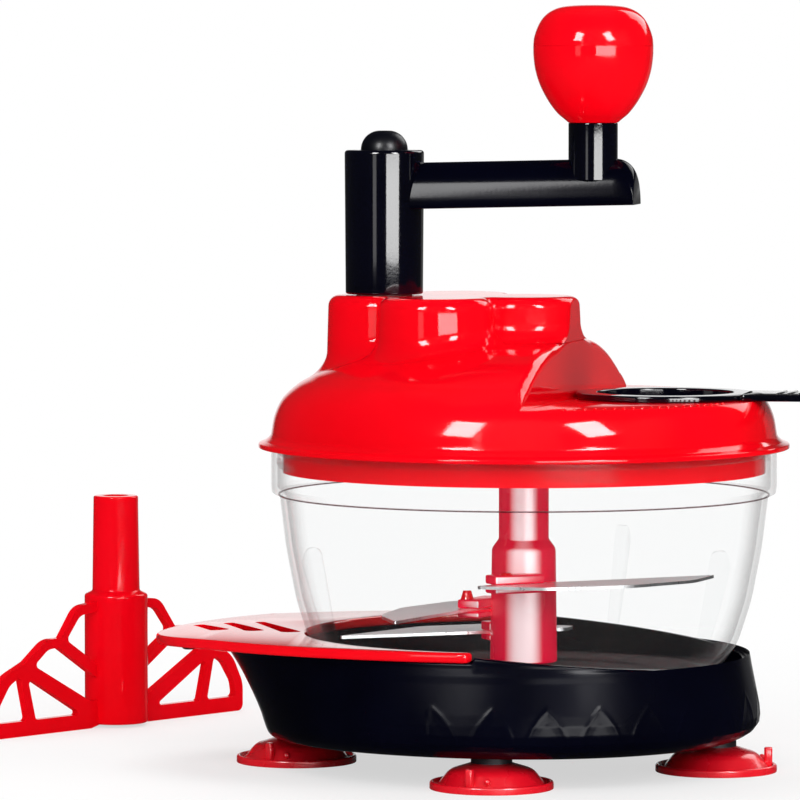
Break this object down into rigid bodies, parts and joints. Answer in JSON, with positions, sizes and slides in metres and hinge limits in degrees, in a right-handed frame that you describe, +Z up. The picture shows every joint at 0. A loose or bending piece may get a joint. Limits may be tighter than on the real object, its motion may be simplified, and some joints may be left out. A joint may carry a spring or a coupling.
{
  "type": "crank food chopper",
  "caption": "Hand cranked food chopper: clear bowl with turning blades on a suction-cup base, geared lid with feed port and egg separator, and a spare lattice beater.",
  "frame": {"origin": "on the table, under the middle of the whole set", "axes": "+X from the red prow deck towards the feed port and separator handle, +Y to the back, +Z up"},
  "size_m": [0.369, 0.2875, 0.3016],
  "materials": {
    "dark_gloss": "glossy",
    "dark_matte": "satin",
    "red_gloss": "glossy",
    "red_matte": "satin",
    "soft_red": "satin",
    "soft_clear": "satin",
    "clear_plastic": "clear glossy",
    "steel": "machined",
    "blade_steel": "ground",
    "pale_nylon": "satin"
  },
  "bodies": {
    "base": {"base_hull": "dark_gloss", "base_deck": "red_gloss", "deck_stop": "dark_matte", "base_plate": "dark_matte", "base_screw_1": "steel", "base_screw_2": "steel", "base_screw_3": "steel", "base_screw_4": "steel", "deck_screw_1": "steel", "deck_screw_2": "steel", "suction_cup_prow": "soft_red", "suction_cup_front": "soft_red", "suction_cup_back": "soft_red", "suction_cup_stern": "soft_red"},
    "spare_beater": {"beater": "red_gloss"},
    "bowl": {"bowl": "clear_plastic", "bowl_pin": "steel"},
    "lid": {"lid_shell": "red_gloss", "gear_cover": "red_matte", "cover_screw_1": "steel", "cover_screw_2": "steel", "cover_screw_3": "steel", "cover_screw_4": "steel", "upper_bush": "pale_nylon", "output_bush": "pale_nylon", "lid_seal": "soft_clear"},
    "crank": {"crank_arm": "dark_gloss", "crank_shaft": "steel", "crank_gear": "pale_nylon", "crank_clip": "steel", "knob_pin": "steel"},
    "knob": {"knob_lower": "red_gloss", "knob_upper": "red_gloss"},
    "button": {"release_button": "dark_gloss", "button_spring": "steel"},
    "output": {"output_gear": "pale_nylon"},
    "blades": {"blade_hub": "red_gloss", "blade_upper": "blade_steel", "blade_middle": "blade_steel", "blade_lower": "blade_steel", "blade_peg_upper": "red_matte", "blade_peg_middle": "red_matte", "blade_peg_lower": "red_matte"},
    "separator": {"egg_separator": "dark_gloss"}
  },
  "joints": [
    {"name": "bowl_lift", "type": "slide", "parent": "base", "child": "bowl", "axis": [0, 0, 1], "range_m": [0, 0.1]},
    {"name": "lid_lift", "type": "slide", "parent": "bowl", "child": "lid", "axis": [0, 0, 1], "range_m": [0, 0.12]},
    {"name": "crank_spin", "type": "hinge", "parent": "lid", "child": "crank", "pos_m": [-0.00675, -0.0385, 0.2], "axis": [0, 0, 1], "continuous": true},
    {"name": "output_spin", "type": "hinge", "parent": "lid", "child": "output", "pos_m": [0.0495, -0.0385, 0.134], "axis": [0, 0, 1], "continuous": true},
    {"name": "blade_spin", "type": "hinge", "parent": "bowl", "child": "blades", "pos_m": [0.0495, -0.0385, 0.08], "axis": [0, 0, 1], "continuous": true},
    {"name": "knob_spin", "type": "hinge", "parent": "crank", "child": "knob", "pos_m": [0.077, -0.0385, 0.28], "axis": [0, 0, 1], "continuous": true},
    {"name": "button_press", "type": "slide", "parent": "crank", "child": "button", "axis": [0, 0, -1], "range_m": [0, 0.004], "stiffness_N_per_m": 600, "springref_m": -0.001, "deforming": ["button_spring"]},
    {"name": "separator_lift", "type": "slide", "parent": "lid", "child": "separator", "axis": [0, 0, 1], "range_m": [0, 0.06]},
    {"name": "beater_lift", "type": "slide", "parent": "base", "child": "spare_beater", "axis": [0, 0, 1], "range_m": [0, 0.12]}
  ],
  "couplings": [
    {"joint": "output_spin", "follows": "crank_spin", "ratio": -2},
    {"joint": "blade_spin", "follows": "crank_spin", "ratio": -2}
  ]
}
